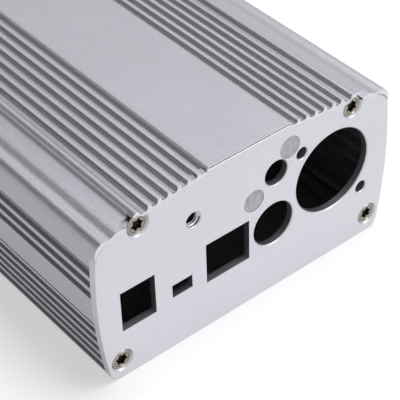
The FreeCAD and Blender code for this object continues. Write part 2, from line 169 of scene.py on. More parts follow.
class Graph:
    """The node tree of a material or of the world."""

    def __init__(self, tree: bpy.types.NodeTree) -> None:
        """Start from an empty tree."""
        self.tree = tree
        tree.nodes.clear()

    def node(
        self,
        kind: str,
        settings: dict[str, object] | None = None,
        sockets: dict[str | int, object] | None = None,
        output: str | int = 0,
    ) -> Wire:
        """Add a node.

        Args:
            kind: type of the node.
            settings: its own settings.
            sockets: values or wires of its inputs, by name or number.
            output: the output that is wanted.

        Returns:
            The wire from that output.
        """
        made = self.tree.nodes.new(kind)
        for name, value in (settings or {}).items():
            setattr(made, name, value)
        for key, value in (sockets or {}).items():
            if isinstance(value, Wire):
                self.tree.links.new(value.socket, made.inputs[key])
            else:
                made.inputs[key].default_value = value
        return Wire(self, made.outputs[output] if made.outputs else None)

    def math(self, operation: str, first: Wire | float, second: Wire | float) -> Wire:
        """Math node on two values."""
        return self.node("ShaderNodeMath", {"operation": operation}, {0: first, 1: second})

    def blend(self, share: Wire | float, first: Wire | Colour, second: Wire | Colour) -> Wire:
        """Colour between two colours or wires: a share of 0 is the first, 1 the second."""
        ends = [end if isinstance(end, Wire) else (*end, 1.0) for end in (first, second)]
        settings = {"data_type": "RGBA", "clamp_factor": True}
        return self.node("ShaderNodeMix", settings, {0: share, 6: ends[0], 7: ends[1]}, 2)

    def scaled(self, colour: Wire, gain: Wire) -> Wire:
        """Colour made lighter or darker by a gain for all three channels."""
        return self.node("ShaderNodeVectorMath", {"operation": "SCALE"}, {0: colour, "Scale": gain})

    def place(self) -> Wire:
        """Position on the object, in its own coordinates."""
        return self.node("ShaderNodeTexCoord", output="Object")

    def along(self, axis: str, source: Wire | None = None) -> Wire:
        """One coordinate of a vector, or of the position when no vector is given."""
        return self.node("ShaderNodeSeparateXYZ", {}, {0: source or self.place()}, axis)

    def facing(self, axis: str) -> Wire:
        """Share of the surface's true normal along an axis, without its sign."""
        normal = self.node("ShaderNodeNewGeometry", output="True Normal")
        return abs(self.along(axis, normal))

    def noise(self, cell: Point | float, detail: float = 3.0, roughness: float = 0.55) -> Wire:
        """Noise in cells of a chosen size.

        Args:
            cell: size of a cell along X, Y and Z, or one size for all three.
            detail: number of finer layers.
            roughness: share of the finer layers.

        Returns:
            A value about 0.5.
        """
        sizes = cell if isinstance(cell, tuple) else (cell, cell, cell)
        scale = tuple(1.0 / size for size in sizes)
        where = self.node("ShaderNodeMapping", {}, {"Vector": self.place(), "Scale": scale})
        levels = {"Vector": where, "Scale": 1.0, "Detail": detail, "Roughness": roughness}
        return self.node("ShaderNodeTexNoise", {}, levels)

    def bump(self, height: Wire, depth: float, under: Wire | None = None) -> Wire:
        """Normal of a surface that a height pattern roughens.

        Args:
            height: the pattern, from 0 to 1.
            depth: distance between its low and high places.
            under: normal of another pattern that it lies on.

        Returns:
            The normal.
        """
        sockets: dict[str | int, object] = {"Height": height, "Strength": 1.0, "Distance": depth}
        if under:
            sockets["Normal"] = under
        return self.node("ShaderNodeBump", {}, sockets)

    def output(self, shader: Wire, kind: str = "ShaderNodeOutputMaterial") -> None:
        """Wire a shader to the output of the tree."""
        self.node(kind, {}, {"Surface": shader})


def new_material(name: str) -> tuple[bpy.types.Material, Graph]:
    """Empty node material of a name, and its graph."""
    material = bpy.data.materials.new(name)
    material.use_nodes = True
    return material, Graph(material.node_tree)


@dataclass(frozen=True)
class SatinAluminium:
    """Clear anodised aluminium with a fine blasted grain, drawn lines along Y and painted shade in
    its grooves.

    Attributes:
        name: name of the material.
        tint: colour of the clean surface.
        cut_tint: colour of the faces that a cutter left bright.
        groove_shade_tint: painted shade, the darker colour given to the grooves where shade falls.
        roughness: gloss of the surface.
        grain: size of the blasted grain.
        grain_depth: depth of the grain.
        lines: share of colour that the drawn lines take.
        line_depth: depth of the drawn lines.
    """

    name: str
    tint: Colour
    cut_tint: Colour
    groove_shade_tint: Colour
    roughness: float
    grain: float
    grain_depth: float
    lines: float
    line_depth: float

    def material(self) -> bpy.types.Material:
        """Build the material."""
        material, graph = new_material(self.name)
        patch_cell, line_cell = (22 * MM, 34 * MM, 22 * MM), (0.35 * MM, 90 * MM, 0.35 * MM)
        oblique, end_on = 0.75, 0.95
        grain = graph.noise(self.grain, 2.0)
        patches = graph.noise(patch_cell, 2.0)
        drawn = graph.noise(line_cell, 3.0, 0.7)
        cut = graph.facing("Y").rises(oblique, end_on)
        gain = 1.0 + grain.swing(0.3) + drawn.swing(self.lines) + patches.swing(0.05)
        # Painted shade: the grooves get a darker colour as they deepen.
        skin_with_groove_shade = graph.blend(self._painted_groove_shade(graph), self.tint, self.groove_shade_tint)
        colour = graph.scaled(graph.blend(cut, skin_with_groove_shade, self.cut_tint), gain)
        roughness = self.roughness + grain.swing(0.16) + patches.swing(0.06)
        normal = graph.bump(grain, self.grain_depth, graph.bump(drawn, self.line_depth))
        sockets = {
            "Base Color": colour,
            "Metallic": 1.0,
            "Roughness": roughness,
            "Normal": normal,
        }
        graph.output(graph.node("ShaderNodeBsdfPrincipled", {}, sockets))
        return material

    @staticmethod
    def _painted_groove_shade(graph: Graph) -> Wire:
        """Mask of the painted shade in the cooling grooves, by the depth of a place under the roof
        and side arcs.

        Args:
            graph: the material's graph.

        Returns:
            1 at the bottom of a groove, 0 on the outside.
        """
        shallow, deep = 0.15 * MM, 0.7 * MM
        ridge, inside_ridge = 32.6 * MM, 32.4 * MM
        inner_roof, roof = 44.5 * MM, 45.0 * MM
        shoulder, upper_side = 39.0 * MM, 38.6 * MM
        across, up = abs(graph.along("X")), graph.along("Z")
        masks = []
        for arc in (ROOF, SIDE):
            run, rise = across - arc.x * MM, up - arc.z * MM
            depth = arc.radius * MM - graph.math("SQRT", run * run + rise * rise, 0.0)
            masks.append(depth.rises(shallow, deep))
        on_roof = across.rises(ridge, inside_ridge) * up.rises(inner_roof, roof)
        on_side = up.rises(shoulder, upper_side)
        return graph.math("MAXIMUM", masks[0] * on_roof, masks[1] * on_side)


@dataclass(frozen=True)
class ScrewSteel:
    """Plain machined steel, with painted shade that darkens the recess towards its bottom.

    Attributes:
        name: name of the material.
        tint: colour of the head.
        recess_shade: painted shade, the colour at the bottom of the recess.
        roughness: gloss of the head.
    """

    name: str
    tint: Colour
    recess_shade: Colour
    roughness: float

    def material(self) -> bpy.types.Material:
        """Build the material."""
        material, graph = new_material(self.name)
        grain_cell, spot_cell = 0.25 * MM, 1.1 * MM
        mouth, bottom = 74.72 * MM, 74.2 * MM
        grain = graph.noise(grain_cell, 3.0)
        spots = graph.noise(spot_cell, 3.0, 0.65)
        # Painted shade: the recess darkens with its depth, down to the colour at its bottom.
        recess = abs(graph.along("Y")).rises(mouth, bottom)
        gain = 1.0 + grain.swing(0.3) + spots.swing(0.4)
        colour = graph.scaled(graph.blend(recess, self.tint, self.recess_shade), gain)
        sockets = {
            "Base Color": colour,
            "Metallic": 1.0,
            "Roughness": self.roughness + spots.swing(0.2) + recess * 0.2,
            "Normal": graph.bump(grain, 0.02 * MM),
        }
        graph.output(graph.node("ShaderNodeBsdfPrincipled", {}, sockets))
        return material


@dataclass(frozen=True)
class FrostedPlastic:
    """Milky plastic with a ground face and faint flow marks.

    Attributes:
        name: name of the material.
        tint: colour of the plastic.
        cloud: colour of its flow marks.
        roughness: gloss of the face.
    """

    name: str
    tint: Colour
    cloud: Colour
    roughness: float

    def material(self) -> bpy.types.Material:
        """Build the material."""
        material, graph = new_material(self.name)
        flow_cell, grain_cell = (0.9 * MM, 4 * MM, 2.4 * MM), 0.2 * MM
        flow = graph.noise(flow_cell, 4.0, 0.6)
        grain = graph.noise(grain_cell, 2.0)
        colour = graph.blend(flow.rises(0.4, 0.65), self.tint, self.cloud)
        sockets = {
            "Base Color": colour,
            "Metallic": 0.0,
            "Roughness": self.roughness + grain.swing(0.2),
            "Normal": graph.bump(flow, 0.06 * MM, graph.bump(grain, 0.02 * MM)),
            "Transmission Weight": 0.15,
            "IOR": 1.49,
        }
        graph.output(graph.node("ShaderNodeBsdfPrincipled", {}, sockets))
        return material


BODY_FINISH = SatinAluminium(
    name="extruded_satin_aluminium",
    tint=(0.405, 0.405, 0.445),
    cut_tint=(0.68, 0.68, 0.72),
    # painted shade in the grooves, darker than the tint
    groove_shade_tint=(0.37, 0.37, 0.38),
    roughness=0.42,
    grain=0.42 * MM,
    grain_depth=0.05 * MM,
    lines=0.1,
    line_depth=0.015 * MM,
)
PANEL_FINISH = SatinAluminium(
    name="blasted_aluminium_plate",
    tint=(0.5, 0.5, 0.54),
    cut_tint=(0.65, 0.65, 0.7),
    groove_shade_tint=(0.5, 0.5, 0.54),
    roughness=0.4,
    grain=0.35 * MM,
    grain_depth=0.02 * MM,
    lines=0.0,
    line_depth=0.0,
)
SCREW_FINISH = ScrewSteel(
    name="machined_screw_steel",
    tint=(0.36, 0.33, 0.29),
    # painted shade at the bottom of the recess
    recess_shade=(0.03, 0.027, 0.022),
    roughness=0.3,
)
PIPE_FINISH = FrostedPlastic(
    name="frosted_light_pipe_plastic",
    tint=(0.43, 0.43, 0.455),
    cloud=(0.57, 0.57, 0.6),
    roughness=0.4,
)


def spin(
    bm: bmesh.types.BMesh,
    geom: list[bmesh.types.BMVert | bmesh.types.BMEdge | bmesh.types.BMFace],
    steps: int,
    turns: float = 1.0,
    drop: float = 0.0,
    merge: bool = False,
) -> None:
    """Spin geometry round Z.

    Args:
        bm: mesh that holds it.
        geom: the vertices, edges and faces that are spun.
        steps: number of steps.
        turns: number of turns.
        drop: how far each step sinks along Z.
        merge: whether the last step is welded to the first.
    """
    bmesh.ops.spin(
        bm,
        geom=geom,
        cent=(0.0, 0.0, 0.0),
        axis=(0.0, 0.0, 1.0),
        dvec=(0.0, 0.0, -drop),
        angle=2 * math.pi * turns,
        steps=steps,
        use_merge=merge,
        use_duplicate=False,
    )


def revolve(bm: bmesh.types.BMesh, profile: Profile, steps: int) -> list[bmesh.types.BMVert]:
    """Spin an open profile round Z into a closed form.

    Args:
        bm: mesh that takes the form.
        profile: pairs of radius and height, from one pole to the other.
        steps: number of steps of the full turn.

    Returns:
        The vertices of the form.
    """
    chain = [bm.verts.new((radius, 0.0, height)) for radius, height in profile]
    edges = [bm.edges.new(pair) for pair in zip(chain, chain[1:])]
    known = set(bm.verts) - set(chain)
    spin(bm, chain + edges, steps, merge=True)
    made = [vert for vert in bm.verts if vert not in known]
    bmesh.ops.remove_doubles(bm, verts=made, dist=0.0005 * MM)
    return [vert for vert in bm.verts if vert not in known]


def finish_piece(bm: bmesh.types.BMesh, name: str, finish: bpy.types.Material) -> bpy.types.Object:
    """Turn a bmesh into an object, smooth apart from its creases and its end faces.

    Args:
        bm: the mesh, which is freed.
        name: name of the piece.
        finish: its material.

    Returns:
        The object, linked to the scene.
    """
    bmesh.ops.recalc_face_normals(bm, faces=bm.faces)
    for face in bm.faces:
        face.smooth = abs(face.normal.y) < END_FACE
    for edge in bm.edges:
        edge.smooth = edge.calc_face_angle(math.pi) < CREASE
    mesh = bpy.data.meshes.new(name)
    bm.to_mesh(mesh)
    bm.free()
    mesh.materials.append(finish)
    piece = bpy.data.objects.new(name, mesh)
    bpy.context.scene.collection.objects.link(piece)
    return piece


@dataclass
class Shell:
    """The solids of the extrusion and of its two end plates.

    The plates are seen as they are. The extrusion's solid is dressed too, but the extrusion that
    is built here stands in its place.

    Attributes:
        housing: node of the extrusion.
        panels: nodes of the end plates.
    """

    housing: str = "housing"
    panels: tuple[str, ...] = ("front_panel", "rear_panel")

    def dress(self, body: bpy.types.Material, plate: bpy.types.Material) -> list[str]:
        """Give the solids their finishes.

        Args:
            body: the material of the extrusion.
            plate: the material of the end plates.

        Returns:
            The names of the dressed pieces.
        """
        self._cover(self.housing, body)
        for node in self.panels:
            self._cover(node, plate)
        return [self.housing, *self.panels]

    @staticmethod
    def _cover(node: str, finish: bpy.types.Material) -> None:
        """Put one finish in every material slot of a node."""
        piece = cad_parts[node]
        if not piece.material_slots:
            piece.data.materials.append(finish)
        for slot in piece.material_slots:
            slot.material = finish


class Outline:
    """Chain of (x, z) points in the section plane, in millimetres.

    Attributes:
        longest: longest step of an arc.
        widest: widest step of an arc, in radians.
        closest: distance under which two points are one.
    """

    longest: float = 4.0
    widest: float = 0.2
    closest: float = 0.004

    def __init__(self, start: Spot) -> None:
        """Start at a point."""
        self.points: list[Spot] = [start]

    def to(self, *spots: Spot) -> "Outline":
        """Add straight runs that lead to points, in order."""
        self.points += spots
        return self

    def turn(self, centre: Spot, radius: float, start: float, end: float) -> "Outline":
        """Add an arc round a centre.

        Args:
            centre: its centre.
            radius: its radius.
            start: angle of its first point, in radians.
            end: angle of its last point, in radians.

        Returns:
            The outline.
        """
        sweep = abs(end - start)
        steps = max(2, math.ceil(sweep * radius / self.longest), math.ceil(sweep / self.widest))
        for step in range(steps + 1):
            angle = start + (end - start) * step / steps
            x, z = centre[0] + radius * math.cos(angle), centre[1] + radius * math.sin(angle)
            self.points.append((x, z))
        return self

    def bend(self, middle: Spot, end: Spot) -> "Outline":
        """Add an arc from the last point.

        Args:
            middle: a point that it passes through.
            end: its last point.

        Returns:
            The outline.
        """
        start = self.points[-1]
        (ax, az), (bx, bz), (cx, cz) = start, middle, end
        squares = (ax**2 + az**2, bx**2 + bz**2, cx**2 + cz**2)
        area = 2 * (ax * (bz - cz) + bx * (cz - az) + cx * (az - bz))
        x = (squares[0] * (bz - cz) + squares[1] * (cz - az) + squares[2] * (az - bz)) / area
        z = (squares[0] * (cx - bx) + squares[1] * (ax - cx) + squares[2] * (bx - ax)) / area
        angles = [math.atan2(spot[1] - z, spot[0] - x) for spot in (start, middle, end)]
        sweep = (angles[2] - angles[0]) % math.tau
        if (angles[1] - angles[0]) % math.tau > sweep:
            sweep -= math.tau
        return self.turn((x, z), math.hypot(ax - x, az - z), angles[0], angles[0] + sweep)

    def clean(self) -> list[Spot]:
        """Points of the outline without repeated ones."""
        kept: list[Spot] = []
        for spot in self.points:
            if not kept or math.dist(spot, kept[-1]) > self.closest:
                kept.append(spot)
        return kept


@dataclass
class Extrusion:
    """The finned extrusion with its round ridges, its coves and the lips over the plates.

    All sizes are in millimetres, and the section is described for X above zero.

    Attributes:
        node: node of the extrusion.
        length: length over the lips.
        step: depth of the step for a plate.
        height: height of the flat band.
        band: half width of the flat band.
        corner: radius of the lower corner.
        fins: number of fins on each side.
        pitch: distance from fin to fin.
        fin_edge: roundness of a fin's edges.
        groove: width of a roof groove.
        outer_groove: width of the groove beside the ridge.
        groove_depth: depth of a roof groove.
        groove_root: largest rounding in a roof groove.
        ridge: places where the ridge starts and where its flank ends.
        side_grooves: start, width and depth of each side groove.
        side_root: largest rounding in a side groove.
        side_run: height of a straight run where the side has no groove.
        floor: thickness of the floor.
        ceiling: thickness of the roof under its arc.
        wall: thickness of the sides.
        ribs: heights of the board guides.
        rib: thickness of a board guide.
        guide: width of a board guide.
        upper_boss: centre of the upper screw channel.
        lower_boss: centre of the lower screw channel.
        boss: radius of a channel's wall.
        bore: radius of a channel's bore.
        half_slot: half width of a channel's slot.
        relief: centre of the pocket round the upper screw's head.
        relief_radius: radius of that pocket.
        lip: height of the roof lip's underside over the flat plate edge.
        lip_pocket: places where the pocket's arc in the roof lip starts and ends.
        lip_top: place up to which the lip's top follows the roof.
        lip_web: least height of the roof lip.
        shoulder_top: height where the pocket comes out of the shoulder.
        shoulder_foot: lowest height of the shoulder's lip.
        plate_corner: centre of the plate's upper corner.
        plate_radius: radius of that corner with its gap.
    """

    node: str = "housing"
    length: float = 150.0
    step: float = 2.0
    height: float = 49.9
    band: float = 12.9
    corner: float = 3.5
    fins: int = 6
    pitch: float = 2.85
    fin_edge: float = 0.15
    groove: float = 1.8
    outer_groove: float = 2.4
    groove_depth: float = 1.25
    groove_root: float = 0.88
    ridge: tuple[float, float] = (32.4, 34.95)
    side_grooves: tuple[tuple[float, float, float], ...] = (
        (2.95, 2.85, 1.3),
        (7.05, 1.95, 1.3),
        (10.25, 1.95, 1.3),
        (13.45, 1.95, 1.3),
        (16.65, 1.95, 1.3),
        (19.6, 0.5, 0.4),
        (28.1, 2.05, 1.3),
        (31.4, 2.05, 1.3),
        (34.7, 2.8, 1.3),
    )
    side_root: float = 0.45
    side_run: float = 2.0
    floor: float = 2.5
    ceiling: float = 2.9
    wall: float = 3.1
    ribs: tuple[float, ...] = (11.2, 15.4, 19.6, 23.8, 28.0)
    rib: float = 1.4
    guide: float = 2.4
    upper_boss: Spot = (UPPER_SCREW, 44.28)
    lower_boss: Spot = (LOWER_SCREW, 5.65)
    boss: float = 3.3
    bore: float = 1.55
    half_slot: float = 0.75
    relief: Spot = (33.5, 43.9)
    relief_radius: float = 3.1
    lip: float = 49.62
    lip_pocket: tuple[float, float] = (31.25, 34.3)
    lip_top: float = 34.25
    lip_web: float = 0.06
    shoulder_top: float = 45.33
    shoulder_foot: float = 40.4
    plate_corner: Spot = (39.96, 38.55)
    plate_radius: float = 5.6

    def build(self, finish: bpy.types.Material) -> str:
        """Build the extrusion in the place of its node.

        Args:
            finish: the material of the extrusion.

        Returns:
            The name of the piece.
        """
        bm = bmesh.new()
        end = self.length / 2
        outside = self._mirrored(self._outside())
        hollow = self._mirrored(self._hollow())
        self._prism(bm, [outside, hollow], self.step - end, end - self.step)
        for lip in (self._mirrored(self._roof_lip()), *self._both(self._shoulder_lip())):
            for side in (-1, 1):
                self._prism(bm, [lip], side * end, side * (end - self.step))
        piece = finish_piece(bm, "finned_extrusion", finish)
        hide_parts(self.node)
        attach(piece, BODY)
        return piece.name

    @staticmethod
    def _both(loop: list[Spot]) -> tuple[list[Spot], list[Spot]]:
        """A closed loop and its mirror image."""
        return loop, [(-x, z) for x, z in loop]

    @staticmethod
    def _mirrored(half: list[Spot]) -> list[Spot]:
        """Closed loop from its half, which starts and ends on the middle line."""
        return half + [(-x, z) for x, z in half[-2:0:-1]]

    def _outside(self) -> list[Spot]:
        """Outside of one half, from the middle of the underside to the middle of the band."""
        corner, z = self.corner, self.side_grooves[0][0]
        centre = (SIDE.reach(corner, corner), corner)
        outline = Outline((0.0, 0.0))
        outline.turn(centre, corner, -math.pi / 2, math.asin((z - corner) / corner))
        for low, width, depth in self.side_grooves:
            while z + self.side_run < low:
                z += self.side_run
                outline.to((SIDE.reach(z), z))
            z = low + width
            root = min(self.side_root, width / 4)
            bottom = SIDE.reach(low + width / 2) - depth + root
            outline.to((SIDE.reach(low), low), (bottom, low))
            outline.turn((bottom, low + root), root, -math.pi / 2, -math.pi)
            outline.turn((bottom, z - root), root, math.pi, math.pi / 2)
            outline.to((SIDE.reach(z), z))
        self._shoulder(outline)
        self._ridge(outline)
        self._fins(outline)
        return outline.clean()

    @staticmethod
    def _shoulder(outline: Outline) -> None:
        """Round shoulder, and the cove between it and the ridge."""
        outline.to((SIDE.reach(39.5), 39.5), (SIDE.reach(41.4), 41.4))
        outline.bend((44.55, 43.75), (43.0, 44.85))
        outline.bend((42.3, 44.78), (41.7, 44.66))
        outline.bend((40.9, 44.72), (40.2, 44.95))
        outline.bend((39.2, 45.42), (38.1, 45.6))

    def _ridge(self, outline: Outline) -> None:
        """Round ridge, from its foot on the shoulder to its top edge at the outer groove."""
        start, foot = self.ridge
        outline.to((foot, 46.08), (foot - 0.33, 46.15), (foot - 0.45, 46.45), (foot - 0.5, 47.1))
        outline.bend((34.1, 47.72), (33.5, 48.08))
        outline.bend((32.9, 48.15), (start, 47.9))

    def _fins(self, outline: Outline) -> None:
        """Outer groove, fins with their grooves and the flat band, from the ridge inwards."""
        spans = [(self.ridge[0] - self.outer_groove, self.ridge[0])]
        for index in reversed(range(self.fins)):
            low = self.band + index * self.pitch
            spans.append((low, low + self.groove))
        edge, quarter = self.fin_edge, math.pi / 2
        for low, high in spans:
            root = min(self.groove_root, (high - low) / 2)
            bottom = ROOF.height((low + high) / 2) - self.groove_depth + root
            outline.to((high, bottom))
            outline.turn((high - root, bottom), root, 0.0, -quarter)
            outline.turn((low + root, bottom), root, -quarter, -math.pi)
            if low > self.band:
                far = low - self.pitch + self.groove
                outline.turn((low - edge, ROOF.height(low) - edge), edge, 0.0, quarter)
                outline.turn((far + edge, ROOF.height(far) - edge), edge, quarter, math.pi)
        outline.to((self.band - 0.1, self.height - 0.3), (self.band - 0.4, self.height))
        outline.to((0.0, self.height))

    def _boss(self, outline: Outline, centre: Spot, start: float, slot: float, end: float) -> None:
        """Wall of a screw channel with the slot that opens it to the hollow.

        Args:
            outline: outline that takes the wall.
            centre: axis of the channel.
            start: angle where the wall starts, in degrees.
            slot: direction of the slot, in degrees.
            end: angle where the wall ends, in degrees.
        """
        outer = math.asin(self.half_slot / self.boss)
        inner = math.asin(self.half_slot / self.bore)
        first, middle, last = (math.radians(value) for value in (start, slot, end))
        outline.turn(centre, self.boss, first, middle + outer)
        outline.turn(centre, self.bore, middle + inner, middle - inner + math.tau)
        outline.turn(centre, self.boss, middle - outer, last)

    def _hollow(self) -> list[Spot]:
        """Hollow of one half, from the middle of the floor to the middle of the ceiling."""
        outline = Outline((0.0, self.floor))
        self._boss(outline, self.lower_boss, 252.7, 135.0, 60.0)
        for low in self.ribs:
            high = low + self.rib
            wall = SIDE.reach(low, self.wall)
            outline.to((wall, low), (wall - self.guide, low), (wall - self.guide, high))
            outline.to((SIDE.reach(high, self.wall), high))
        outline.to(*((SIDE.reach(z, self.wall), z) for z in (34.0, 39.0)))
        outline.bend((41.2, 41.7), (39.3, 42.85))
        outline.to((37.9, 43.27), (36.3, 43.7))
        self._boss(outline, self.upper_boss, -10.0, -135.0, -194.0)
        places = (27.0, 22.0, 17.0, 12.0, 8.0, 4.0, 0.0)
        outline.to(*((x, ROOF.height(x) - self.ceiling) for x in places))
        return outline.clean()

    def _roof_lip(self) -> list[Spot]:
        """Half of the lip over a plate, from its underside at the middle to the band."""
        outline = Outline((0.0, self.lip)).to((self.band - 0.5, self.lip))
        places = (self.band, 18.0, 23.0, 27.0, 29.6)
        outline.to(*((x, PLATE_TOP.height(x)) for x in places))
        angles = [math.acos((x - self.relief[0]) / self.relief_radius) for x in self.lip_pocket]
        outline.turn(self.relief, self.relief_radius, *angles)
        for x, z in self._outside():
            if x < self.lip_top and z > self.height / 2:
                outline.to((x, max(z, PLATE_TOP.height(x) + self.lip_web)))
        return outline.clean()

    def _shoulder_lip(self) -> list[Spot]:
        """Lip between the upper screw's pocket and the plate's rounded corner."""
        rise = self.shoulder_top - self.relief[1]
        reach = self.relief[0] + math.sqrt(self.relief_radius**2 - rise**2)
        outline = Outline((reach, self.shoulder_top)).to((reach + 0.2, 44.72))
        outline.turn(self.plate_corner, self.plate_radius, math.pi / 2, math.radians(20.0))
        for x, z in self._outside():
            if x > reach and z > self.shoulder_foot:
                outline.to((x, z))
        return outline.clean()

    @staticmethod
    def _prism(bm: bmesh.types.BMesh, loops: list[list[Spot]], start: float, end: float) -> None:
        """Solid between two places along Y.

        Args:
            bm: mesh that takes the solid.
            loops: outline of the solid, and of the hollow when it has one.
            start: Y of the first face.
            end: Y of the last face.
        """
        edges = []
        for loop in loops:
            verts = [bm.verts.new((x * MM, start * MM, z * MM)) for x, z in loop]
            edges += [bm.edges.new((verts[i - 1], verts[i])) for i in range(len(verts))]
        filled = bmesh.ops.triangle_fill(
            bm, use_beauty=True, use_dissolve=False, edges=edges, normal=(0.0, -1.0, 0.0)
        )
        faces = [item for item in filled["geom"] if isinstance(item, bmesh.types.BMFace)]
        moved = bmesh.ops.extrude_face_region(bm, geom=faces, use_keep_orig=True)
        verts = [item for item in moved["geom"] if isinstance(item, bmesh.types.BMVert)]
        bmesh.ops.translate(bm, vec=(0.0, (end - start) * MM, 0.0), verts=verts)


@dataclass
class CountersunkScrew:
    """Countersunk screw with a six-lobe recess and a rolled thread.

    Attributes:
        head_radius: radius of the head's rim.
        edge: roundness of the rim.
        land: height of the straight rim above the cone.
        core_radius: radius of the shank under the thread.
        thread_radius: radius over the thread.
        pitch: pitch of the thread.
        length: length over all.
        lobe_tip: radius of the recess at its lobes.
        lobe_root: radius of the recess between its lobes.
        recess_depth: depth of the recess wall.
        ring: radius where the ring round the recess starts.
        crown: height of the head's top over its rim.
        bevel: bevel of the screw's tip.
        steps: steps of a full turn.
    """

    head_radius: float = 2.85 * MM
    edge: float = 0.12 * MM
    land: float = 0.16 * MM
    core_radius: float = 1.22 * MM
    thread_radius: float = 1.49 * MM
    pitch: float = 0.5 * MM
    length: float = 10.0 * MM
    lobe_tip: float = 1.72 * MM
    lobe_root: float = 1.22 * MM
    recess_depth: float = 1.1 * MM
    ring: float = 2.0 * MM
    crown: float = 0.2 * MM
    bevel: float = 0.2 * MM
    steps: int = 72

    def build(self, bm: bmesh.types.BMesh, place: Matrix) -> None:
        """Build the screw with the top of its head at Z = 0 and move it to its place.

        Args:
            bm: mesh that takes the screw.
            place: transform from the screw's own axes to the frame.
        """
        known = set(bm.verts)
        self._head(bm)
        self._thread(bm)
        made = [vert for vert in bm.verts if vert not in known]
        bmesh.ops.transform(bm, matrix=place, verts=made)

    def _head(self, bm: bmesh.types.BMesh) -> None:
        """Head, recess and core, spun in one closed form."""
        rim, tip, ring, floor = self.head_radius, self.lobe_tip, self.ring, -self.recess_depth
        cone_end = self.land + self.crown + rim - self.thread_radius
        recess: Profile = [
            (0.0, floor - 0.3 * MM),
            (0.5 * MM, floor - 0.12 * MM),
            (tip * 0.97, floor),
            (tip, -0.3 * MM),
            (tip + 0.04 * MM, -0.18 * MM),
            (ring, -0.16 * MM),
            (ring + 0.1 * MM, -0.26 * MM),
            (ring + 0.18 * MM, -0.06 * MM),
            (ring + 0.3 * MM, 0.0),
        ]
        outside: Profile = [
            (rim - 0.32 * MM, 0.0),
            (rim - 0.3 * self.edge, -self.crown),
            (rim, -self.crown - 0.05 * MM),
            (rim, -self.crown - self.land),
            (self.thread_radius, -cone_end),
            (self.core_radius, -cone_end - 0.25 * MM),
            (self.core_radius, self.bevel - self.length),
            (self.core_radius - self.bevel, -self.length),
            (0.0, -self.length),
        ]
        verts = revolve(bm, recess + outside, self.steps)
        mean = (self.lobe_tip + self.lobe_root) / 2
        swing = (self.lobe_tip - self.lobe_root) / 2
        for vert in verts:
            radius = math.hypot(vert.co.x, vert.co.y)
            within = radius < tip + 0.06 * MM and vert.co.z > floor - 0.05 * MM
            if not within or radius < 0.7 * MM:
                continue
            angle = math.atan2(vert.co.y, vert.co.x)
            lobed = mean + swing * math.cos(6 * angle) + 0.04 * MM * math.cos(12 * angle)
            scale = (lobed + radius - tip) / radius
            vert.co.x *= scale
            vert.co.y *= scale

    def _thread(self, bm: bmesh.types.BMesh) -> None:
        """Thread, spun as a rising row of ridges and welded where its turns meet."""
        start = -(self.land + self.head_radius - self.thread_radius) - 0.5 * MM
        turns = int((self.length + start - 0.4 * MM) / self.pitch)
        root, crest = self.core_radius - 0.05 * MM, self.thread_radius
        chain = []
        for turn in range(turns):
            top = start - turn * self.pitch
            for radius, share in ((root, 0.0), (crest, 0.42), (crest, 0.58)):
                chain.append(bm.verts.new((radius, 0.0, top - share * self.pitch)))
        chain.append(bm.verts.new((root, 0.0, start - turns * self.pitch)))
        edges = [bm.edges.new(pair) for pair in zip(chain, chain[1:])]
        known = set(bm.verts) - set(chain)
        steps = self.steps // 3
        spin(bm, chain + edges, steps, drop=self.pitch / steps)
        made = [vert for vert in bm.verts if vert not in known]
        bmesh.ops.remove_doubles(bm, verts=made, dist=0.001 * MM)
        open_edges = [edge for edge in bm.edges if edge.is_boundary]
        bmesh.ops.holes_fill(bm, edges=open_edges, sides=0)


@dataclass
class ScrewSet:
    """The four screws of one end plate.

    Attributes:
        end: the end of the enclosure.
        places: X and Z of the screws' axes.
        depth: distance of the head's top behind the plate's face.
        turns: turn of each screw's recess, in degrees.
    """

    end: End
    places: tuple[Spot, ...]
    depth: float = 0.2 * MM
    turns: tuple[float, ...] = (8.0, 24.0, 47.0, 15.0)

    def build(self, finish: bpy.types.Material) -> str:
        """Build the screws as one piece in the place of their node.

        Args:
            finish: the material of the screws.

        Returns:
            The name of the piece.
        """
        side = self.end.name.lower()
        bm = bmesh.new()
        screw = CountersunkScrew()
        quarter = Matrix.Rotation(-self.end.value * math.pi / 2, 4, "X")
        for (x, z), turn in zip(self.places, self.turns):
            spot = Vector((x, self.end.value * (-FRONT - self.depth), z))
            twist = Matrix.Rotation(math.radians(turn), 4, "Z")
            screw.build(bm, Matrix.Translation(spot) @ quarter @ twist)
        piece = finish_piece(bm, f"{side}_six_lobe_screws", finish)
        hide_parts(f"{side}_screws")
        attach(piece, BODY)
        return piece.name


